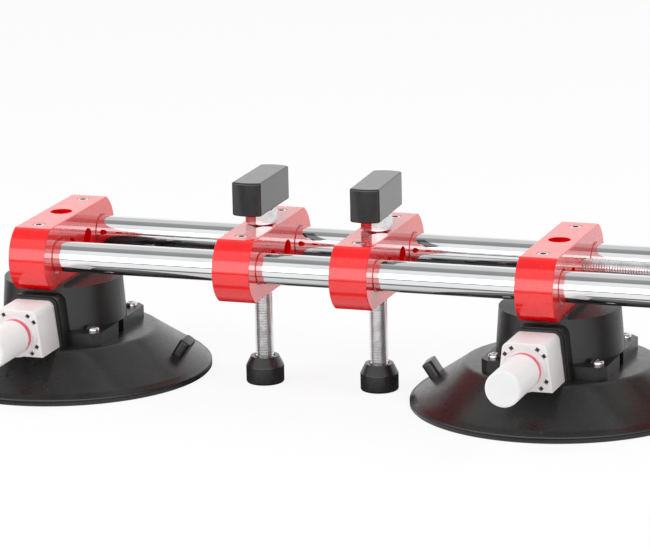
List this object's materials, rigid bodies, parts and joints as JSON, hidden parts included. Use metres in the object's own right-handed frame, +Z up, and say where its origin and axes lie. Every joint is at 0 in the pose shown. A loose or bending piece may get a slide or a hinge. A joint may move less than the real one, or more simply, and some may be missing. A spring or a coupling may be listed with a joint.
{
  "type": "slab seam setter with vacuum suction cups",
  "caption": "Vacuum cups with hand pumps under parallel chrome rods, with red sliding blocks, levelling screws and a drive screw that draws the cups together.",
  "frame": {"origin": "bottom centre of the whole object, on the face that the cups stand on", "axes": "+X along the rods towards the drive handle, +Y to the back (the pumps face -Y), +Z up"},
  "size_m": [0.5872, 0.2264, 0.1389],
  "materials": {
    "red_paint": "glossy red paint on extruded aluminium",
    "chrome": "hard chrome plate, polished",
    "zinc_steel": "bright zinc-plated steel",
    "threaded_steel": "zinc-plated threaded bar",
    "spring_steel": "bare spring steel",
    "black_plastic": "moulded black plastic, fine satin",
    "handle_plastic": "moulded black plastic, smooth",
    "white_plastic": "moulded white plastic, slightly glossy",
    "red_band": "red marker ring",
    "pad_rubber": "moulded black rubber, semi-matte",
    "foot_rubber": "moulded black rubber",
    "seal_rubber": "black nitrile rubber",
    "brass": "machined brass"
  },
  "bodies": {
    "rail": {"front_rod": "chrome", "rear_rod": "chrome", "left_end_block": "red_paint", "left_end_set_screws": "zinc_steel", "drive_end_block": "red_paint", "drive_end_set_screws": "zinc_steel", "drive_washers": "zinc_steel", "left_suction_pad": "pad_rubber", "left_clamp_plate": "zinc_steel", "left_cup_housing": "black_plastic", "left_flange_screws": "zinc_steel", "left_mount_insert": "brass", "left_mount_bolt": "zinc_steel", "left_pump_body": "white_plastic", "left_pump_collar": "white_plastic", "left_check_valve": "seal_rubber", "left_pump_spring": "spring_steel"},
    "right_cup": {"right_slide_block": "red_paint", "right_slide_set_screws": "zinc_steel", "right_suction_pad": "pad_rubber", "right_clamp_plate": "zinc_steel", "right_cup_housing": "black_plastic", "right_flange_screws": "zinc_steel", "right_mount_insert": "brass", "right_mount_bolt": "zinc_steel", "right_pump_body": "white_plastic", "right_pump_collar": "white_plastic", "right_check_valve": "seal_rubber", "right_pump_spring": "spring_steel"},
    "drive_spindle": {"drive_screw": "threaded_steel", "drive_collar": "zinc_steel", "drive_nut": "zinc_steel", "drive_handle": "handle_plastic"},
    "left_level_carrier": {"left_level_block": "red_paint", "left_level_set_screws": "zinc_steel"},
    "left_foot": {"left_level_foot": "foot_rubber", "left_foot_bush": "zinc_steel"},
    "left_level_spindle": {"left_level_screw": "threaded_steel", "left_level_nut": "zinc_steel", "left_level_handle": "handle_plastic", "left_foot_clip": "spring_steel"},
    "left_pump_plunger": {"left_plunger": "white_plastic", "left_plunger_band": "red_band", "left_piston_seal": "seal_rubber"},
    "right_level_carrier": {"right_level_block": "red_paint", "right_level_set_screws": "zinc_steel"},
    "right_foot": {"right_level_foot": "foot_rubber", "right_foot_bush": "zinc_steel"},
    "right_level_spindle": {"right_level_screw": "threaded_steel", "right_level_nut": "zinc_steel", "right_level_handle": "handle_plastic", "right_foot_clip": "spring_steel"},
    "right_pump_plunger": {"right_plunger": "white_plastic", "right_plunger_band": "red_band", "right_piston_seal": "seal_rubber"}
  },
  "joints": [
    {"name": "drive_spin", "type": "hinge", "parent": "rail", "child": "drive_spindle", "pos_m": [0.2478, 0.0308, 0.0859], "axis": [-1, 0, 0], "range_deg": [0, 14400]},
    {"name": "right_cup_slide", "type": "slide", "parent": "rail", "child": "right_cup", "axis": [1, 0, 0], "range_m": [0, 0.07]},
    {"name": "left_level_slide", "type": "slide", "parent": "rail", "child": "left_level_carrier", "axis": [1, 0, 0], "range_m": [-0.028, 0.008]},
    {"name": "left_foot_lift", "type": "slide", "parent": "left_level_carrier", "child": "left_foot", "axis": [0, 0, 1], "range_m": [0, 0.045]},
    {"name": "left_level_spin", "type": "hinge", "parent": "left_foot", "child": "left_level_spindle", "pos_m": [-0.0572, 0.0168, 0.0859], "axis": [0, 0, 1], "range_deg": [0, 9257.1]},
    {"name": "right_level_slide", "type": "slide", "parent": "rail", "child": "right_level_carrier", "axis": [1, 0, 0], "range_m": [-0.008, 0.01]},
    {"name": "right_foot_lift", "type": "slide", "parent": "right_level_carrier", "child": "right_foot", "axis": [0, 0, 1], "range_m": [0, 0.045]},
    {"name": "right_level_spin", "type": "hinge", "parent": "right_foot", "child": "right_level_spindle", "pos_m": [0.0213, 0.0168, 0.0859], "axis": [0, 0, 1], "range_deg": [0, 9257.1]},
    {"name": "left_pump_stroke", "type": "slide", "parent": "rail", "child": "left_pump_plunger", "axis": [0, 1, 0], "range_m": [0, 0.04], "stiffness_N_per_m": 150, "springref_m": -0.01, "deforming": ["left_pump_spring"]},
    {"name": "right_pump_stroke", "type": "slide", "parent": "right_cup", "child": "right_pump_plunger", "axis": [0, 1, 0], "range_m": [0, 0.04], "stiffness_N_per_m": 150, "springref_m": -0.01, "deforming": ["right_pump_spring"]}
  ],
  "couplings": [
    {"joint": "drive_spin", "follows": "right_cup_slide", "rad_per_m": 3590.4},
    {"joint": "left_level_spin", "follows": "left_foot_lift", "rad_per_m": 3590.4},
    {"joint": "right_level_spin", "follows": "right_foot_lift", "rad_per_m": 3590.4}
  ]
}
